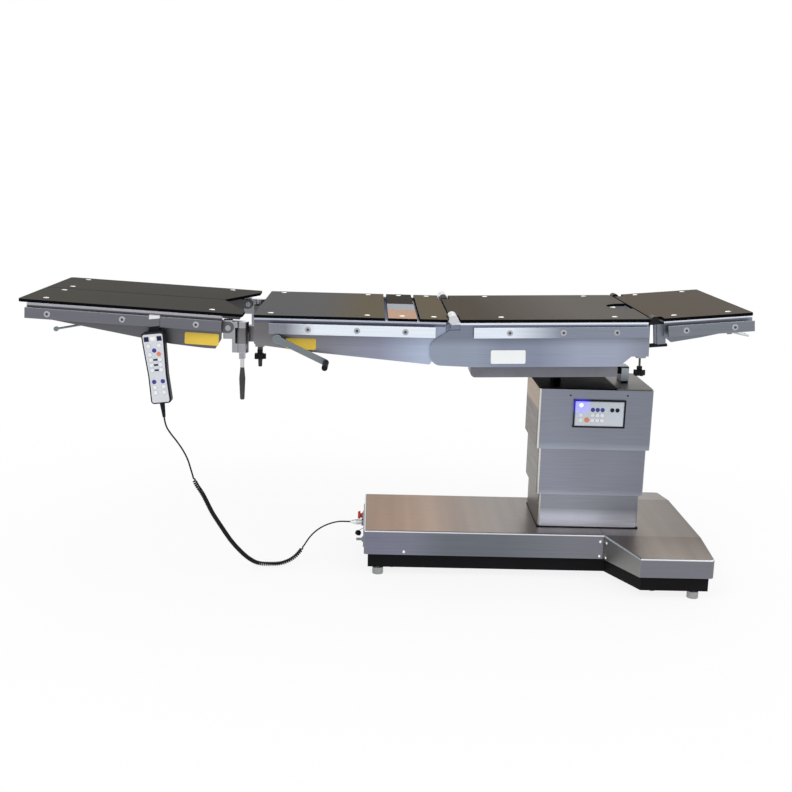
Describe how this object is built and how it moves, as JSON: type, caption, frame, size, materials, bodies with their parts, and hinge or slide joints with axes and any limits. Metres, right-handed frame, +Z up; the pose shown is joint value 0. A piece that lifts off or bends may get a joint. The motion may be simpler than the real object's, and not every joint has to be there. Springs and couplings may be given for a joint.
{
  "type": "operating table",
  "caption": "Mobile operating table with a telescoping column, tilting and sliding sectioned top, side rails, split legs, kidney bridge and corded handset.",
  "frame": {"origin": "on the floor under the middle of the table's box, the cord left out", "axes": "+X towards the head end, +Y towards the far side (away from handset and crank), +Z up"},
  "size_m": [1.9832, 0.7164, 0.8093],
  "materials": {
    "brushed_steel": "brushed stainless steel",
    "rail_steel": "fine ground stainless steel",
    "black_skirt": "black moulded plastic",
    "painted_steel": "grey painted steel",
    "dark_metal": "black painted steel",
    "grey_paint": "light grey painted steel",
    "board": "black laminate board",
    "panel_film": "membrane film",
    "red_plastic": "red moulded plastic",
    "black_plastic": "black moulded plastic",
    "wheel_rubber": "grey rubber",
    "handset_shell": "light grey moulded plastic",
    "cord_jacket": "black flexible jacket"
  },
  "bodies": {
    "base": {"base_skirt": "black_skirt", "plinth_cover": "brushed_steel", "foot_cover": "brushed_steel", "base_chassis": "painted_steel", "end_panel": "brushed_steel", "power_pack": "painted_steel", "lift_cylinder": "painted_steel", "lower_shroud": "brushed_steel", "cord_upper_lead": "cord_jacket", "cord_curls": "cord_jacket", "cord_lower_lead": "cord_jacket", "cord_connector": "black_plastic"},
    "locks": {"lock_feet": "painted_steel"},
    "stop": {"stop_button": "red_plastic"},
    "middle": {"middle_shroud": "brushed_steel"},
    "lift": {"upper_shroud": "brushed_steel", "column_cap": "dark_metal", "control_panel": "panel_film", "lift_ram": "brushed_steel"},
    "cradle": {"roll_cradle": "dark_metal"},
    "saddle": {"pitch_saddle": "grey_paint"},
    "back": {"back_frame": "brushed_steel", "back_board": "board", "back_rails": "rail_steel"},
    "seat": {"seat_frame": "brushed_steel", "seat_boards": "board", "seat_rails": "rail_steel"},
    "bridge": {"kidney_bridge": "brushed_steel", "bridge_boards": "board"},
    "crank": {"crank_arm": "brushed_steel"},
    "grip": {"crank_grip": "black_plastic"},
    "head": {"head_frame": "brushed_steel", "head_board": "board", "head_rails": "rail_steel"},
    "head_loop": {"head_release_loop": "brushed_steel"},
    "handset": {"handset": "handset_shell"},
    "fork_left_front": {"caster_fork_left_front": "painted_steel"},
    "wheel_left_front": {"caster_wheel_left_front": "wheel_rubber"},
    "fork_left_rear": {"caster_fork_left_rear": "painted_steel"},
    "wheel_left_rear": {"caster_wheel_left_rear": "wheel_rubber"},
    "fork_right_front": {"caster_fork_right_front": "painted_steel"},
    "wheel_right_front": {"caster_wheel_right_front": "wheel_rubber"},
    "fork_right_rear": {"caster_fork_right_rear": "painted_steel"},
    "wheel_right_rear": {"caster_wheel_right_rear": "wheel_rubber"},
    "hinge_front": {"leg_hinge_front": "dark_metal"},
    "leg_front": {"leg_frame_front": "brushed_steel", "leg_board_front": "board", "leg_rail_front": "rail_steel"},
    "lever_front": {"leg_lever_front": "black_plastic"},
    "rod_front": {"leg_release_rod_front": "brushed_steel"},
    "seat_knob_front": {"seat_knob_front": "black_plastic"},
    "back_knob_front": {"back_knob_front": "black_plastic"},
    "hinge_rear": {"leg_hinge_rear": "dark_metal"},
    "leg_rear": {"leg_frame_rear": "brushed_steel", "leg_board_rear": "board", "leg_rail_rear": "rail_steel"},
    "lever_rear": {"leg_lever_rear": "black_plastic"},
    "rod_rear": {"leg_release_rod_rear": "brushed_steel"},
    "seat_knob_rear": {"seat_knob_rear": "black_plastic"},
    "back_knob_rear": {"back_knob_rear": "black_plastic"}
  },
  "joints": [
    {"name": "column_lift", "type": "slide", "parent": "base", "child": "lift", "axis": [0, 0, 1], "range_m": [-0.13, 0.16], "deforming": ["cord_upper_lead", "cord_curls", "cord_lower_lead"]},
    {"name": "middle_shroud_lift", "type": "slide", "parent": "base", "child": "middle", "axis": [0, 0, 1], "range_m": [-0.065, 0.08]},
    {"name": "side_tilt", "type": "hinge", "parent": "lift", "child": "cradle", "pos_m": [0.60329, 0.03075, 0.592], "axis": [1, 0, 0], "range_deg": [-18, 18]},
    {"name": "trendelenburg", "type": "hinge", "parent": "cradle", "child": "saddle", "pos_m": [0.60329, 0.03075, 0.64], "axis": [0, -1, 0], "range_deg": [-25, 20]},
    {"name": "table_slide", "type": "slide", "parent": "saddle", "child": "back", "axis": [0.9996, 0, 0.0295], "range_m": [-0.15, 0.15]},
    {"name": "seat_flex", "type": "hinge", "parent": "back", "child": "seat", "pos_m": [0.17232, 0.03075, 0.76835], "axis": [0, 1, 0], "range_deg": [-25, 70]},
    {"name": "crank_turn", "type": "hinge", "parent": "seat", "child": "crank", "pos_m": [-0.29868, 0.03075, 0.70935], "axis": [0, -1, 0], "range_deg": [0, 2880]},
    {"name": "kidney_lift", "type": "slide", "parent": "seat", "child": "bridge", "axis": [0, 0, 1], "range_m": [0, 0.1]},
    {"name": "crank_grip_spin", "type": "hinge", "parent": "crank", "child": "grip", "pos_m": [-0.16817, 0.03075, 0.64849], "axis": [0, 1, 0], "continuous": true},
    {"name": "head_tilt", "type": "hinge", "parent": "back", "child": "head", "pos_m": [0.7172, 0.03075, 0.78042], "axis": [0, 1, 0], "range_deg": [-40, 60]},
    {"name": "head_release", "type": "hinge", "parent": "head", "child": "head_loop", "pos_m": [0.93194, 0.03075, 0.75027], "axis": [0, -1, 0], "range_deg": [0, 12], "stiffness_Nm_per_rad": 1.5, "springref_deg": -11.46},
    {"name": "emergency_stop", "type": "slide", "parent": "base", "child": "stop", "axis": [1, 0, 0], "range_m": [0, 0.004], "stiffness_N_per_m": 800},
    {"name": "floor_locks", "type": "slide", "parent": "base", "child": "locks", "axis": [0, 0, -1], "range_m": [0, 0.012]},
    {"name": "caster_swivel_left_front", "type": "hinge", "parent": "base", "child": "fork_left_front", "pos_m": [0.04729, -0.06925, 0.066], "axis": [0, 0, 1], "continuous": true},
    {"name": "caster_roll_left_front", "type": "hinge", "parent": "fork_left_front", "child": "wheel_left_front", "pos_m": [0.02929, -0.06925, 0.028], "axis": [0, 1, 0], "continuous": true},
    {"name": "caster_swivel_left_rear", "type": "hinge", "parent": "base", "child": "fork_left_rear", "pos_m": [0.04729, 0.13075, 0.066], "axis": [0, 0, 1], "continuous": true},
    {"name": "caster_roll_left_rear", "type": "hinge", "parent": "fork_left_rear", "child": "wheel_left_rear", "pos_m": [0.02929, 0.13075, 0.028], "axis": [0, 1, 0], "continuous": true},
    {"name": "caster_swivel_right_front", "type": "hinge", "parent": "base", "child": "fork_right_front", "pos_m": [0.78929, -0.21925, 0.066], "axis": [0, 0, 1], "continuous": true},
    {"name": "caster_roll_right_front", "type": "hinge", "parent": "fork_right_front", "child": "wheel_right_front", "pos_m": [0.77129, -0.21925, 0.028], "axis": [0, 1, 0], "continuous": true},
    {"name": "caster_swivel_right_rear", "type": "hinge", "parent": "base", "child": "fork_right_rear", "pos_m": [0.78929, 0.28075, 0.066], "axis": [0, 0, 1], "continuous": true},
    {"name": "caster_roll_right_rear", "type": "hinge", "parent": "fork_right_rear", "child": "wheel_right_rear", "pos_m": [0.77129, 0.28075, 0.028], "axis": [0, 1, 0], "continuous": true},
    {"name": "leg_swing_front", "type": "hinge", "parent": "seat", "child": "hinge_front", "pos_m": [-0.39768, -0.21925, 0.74635], "axis": [0, 0, 1], "range_deg": [0, 90]},
    {"name": "leg_pitch_front", "type": "hinge", "parent": "hinge_front", "child": "leg_front", "pos_m": [-0.43368, -0.21925, 0.73035], "axis": [0, -1, 0], "range_deg": [-10, 90]},
    {"name": "leg_lock_front", "type": "hinge", "parent": "hinge_front", "child": "lever_front", "pos_m": [-0.39768, -0.21925, 0.65235], "axis": [0, -1, 0], "range_deg": [0, 35]},
    {"name": "leg_release_front", "type": "hinge", "parent": "leg_front", "child": "rod_front", "pos_m": [-0.83192, -0.08925, 0.7126], "axis": [0, 1, 0], "range_deg": [0, 12], "stiffness_Nm_per_rad": 0.6, "springref_deg": -11.46},
    {"name": "seat_knob_turn_front", "type": "hinge", "parent": "seat", "child": "seat_knob_front", "pos_m": [-0.34868, -0.22725, 0.65835], "axis": [0, 0, 1], "continuous": true},
    {"name": "back_knob_turn_front", "type": "hinge", "parent": "back", "child": "back_knob_front", "pos_m": [0.68763, -0.22725, 0.6635], "axis": [-0.0295, 0, 0.9996], "continuous": true},
    {"name": "leg_swing_rear", "type": "hinge", "parent": "seat", "child": "hinge_rear", "pos_m": [-0.39768, 0.28075, 0.74635], "axis": [0, 0, -1], "range_deg": [0, 90]},
    {"name": "leg_pitch_rear", "type": "hinge", "parent": "hinge_rear", "child": "leg_rear", "pos_m": [-0.43368, 0.28075, 0.73035], "axis": [0, -1, 0], "range_deg": [-10, 90]},
    {"name": "leg_lock_rear", "type": "hinge", "parent": "hinge_rear", "child": "lever_rear", "pos_m": [-0.39768, 0.28075, 0.65235], "axis": [0, -1, 0], "range_deg": [0, 35]},
    {"name": "leg_release_rear", "type": "hinge", "parent": "leg_rear", "child": "rod_rear", "pos_m": [-0.83192, 0.15075, 0.7126], "axis": [0, 1, 0], "range_deg": [0, 12], "stiffness_Nm_per_rad": 0.6, "springref_deg": -11.46},
    {"name": "seat_knob_turn_rear", "type": "hinge", "parent": "seat", "child": "seat_knob_rear", "pos_m": [-0.34868, 0.28875, 0.65835], "axis": [0, 0, 1], "continuous": true},
    {"name": "back_knob_turn_rear", "type": "hinge", "parent": "back", "child": "back_knob_rear", "pos_m": [0.68763, 0.28875, 0.6635], "axis": [-0.0295, 0, 0.9996], "continuous": true},
    {"name": "handset_lift", "type": "slide", "parent": "leg_front", "child": "handset", "axis": [0.0459, 0, 0.9989], "range_m": [0, 0.06]}
  ],
  "couplings": [
    {"joint": "middle_shroud_lift", "follows": "column_lift", "ratio": 0.5},
    {"joint": "kidney_lift", "follows": "crank_turn", "m_per_rad": 0.0019874}
  ]
}
